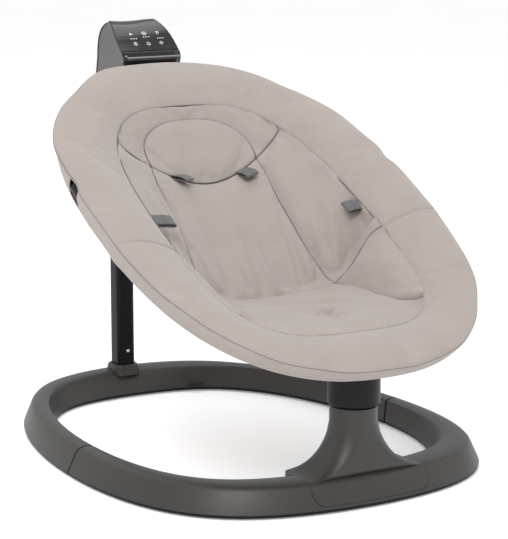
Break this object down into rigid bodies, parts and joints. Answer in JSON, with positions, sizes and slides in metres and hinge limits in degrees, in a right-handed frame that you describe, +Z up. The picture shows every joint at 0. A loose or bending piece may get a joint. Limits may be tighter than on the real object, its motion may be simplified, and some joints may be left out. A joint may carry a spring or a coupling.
{
  "type": "baby swing",
  "caption": "Baby swing with an oval padded seat that rocks side to side between a pedestal on its floor ring and a drive pod on a rear column.",
  "frame": {"origin": "on the floor, under the middle of the swing's overall outline", "axes": "+Z up, +Y from the foot end to the head end and its column, +X to the right seen from the foot end"},
  "size_m": [0.5358, 0.7343, 0.5536],
  "materials": {
    "fabric": "soft woven cover, warm taupe",
    "ring_plastic": "fine leather-like grain, warm dark grey",
    "black_plastic": "satin black",
    "black_tube": "powder coated black",
    "socket_plastic": "satin dark grey",
    "gloss_panel": "high gloss black",
    "plate_plastic": "matte mid grey",
    "chin_strip": "gloss grey",
    "webbing": "woven grey webbing",
    "steel": "bright steel",
    "bronze": "sintered bronze",
    "gear_plastic": "natural acetal",
    "rubber": "matte black",
    "board": "green laminate"
  },
  "bodies": {
    "base": {"front_base_ring": "ring_plastic", "rear_base_ring": "ring_plastic", "front_base_pan": "black_plastic", "rear_base_pan": "black_plastic", "pedestal_saddle": "ring_plastic", "column": "black_tube", "column_socket": "socket_plastic", "pivot_housing": "black_plastic", "pivot_bush": "bronze", "thrust_washer": "steel", "pod_core": "black_plastic", "pod_shell_left": "plate_plastic", "pod_shell_right": "plate_plastic", "touch_panel": "gloss_panel", "chin_strip": "chin_strip", "pod_back_cover": "black_plastic", "front_bearing": "steel", "rear_bearing": "steel", "gearbox_bracket": "steel", "motor": "steel", "circuit_board": "board", "speaker": "rubber", "foot_pad_front": "rubber", "foot_pad_front_left": "rubber", "foot_pad_front_right": "rubber", "foot_pad_rear_left": "rubber", "foot_pad_rear_right": "rubber", "foot_pad_rear": "rubber"},
    "seat": {"head_tube": "black_tube", "foot_tube": "black_tube", "tube_connector_left": "black_plastic", "tube_connector_right": "black_plastic", "toy_bar_socket_left": "black_plastic", "toy_bar_socket_right": "black_plastic", "foot_bracket": "black_tube", "head_bracket": "black_tube", "rim_cover": "fabric", "seat_liner": "fabric", "head_pad": "fabric", "shoulder_strap_left": "webbing", "shoulder_strap_right": "webbing", "waist_strap_left": "webbing", "waist_strap_right": "webbing", "pivot_shaft": "steel", "drive_shaft": "steel", "sector_gear": "gear_plastic"},
    "pinion": {"drive_pinion": "bronze"},
    "lock_button": {"column_lock_button": "steel"}
  },
  "joints": [
    {"name": "seat_swing", "type": "hinge", "parent": "base", "child": "seat", "pos_m": [0, -0.2799, 0.148], "axis": [0, 0.8704, 0.4924], "range_deg": [-11, 11]},
    {"name": "pinion_spin", "type": "hinge", "parent": "base", "child": "pinion", "pos_m": [0, -0.29635, 0.17707], "axis": [0, 0.8704, 0.4924], "range_deg": [-36, 36]},
    {"name": "lock_button_press", "type": "slide", "parent": "base", "child": "lock_button", "axis": [0, 1, 0], "range_m": [0, 0.004], "stiffness_N_per_m": 400}
  ],
  "couplings": [
    {"joint": "pinion_spin", "follows": "seat_swing", "ratio": -3.25}
  ]
}
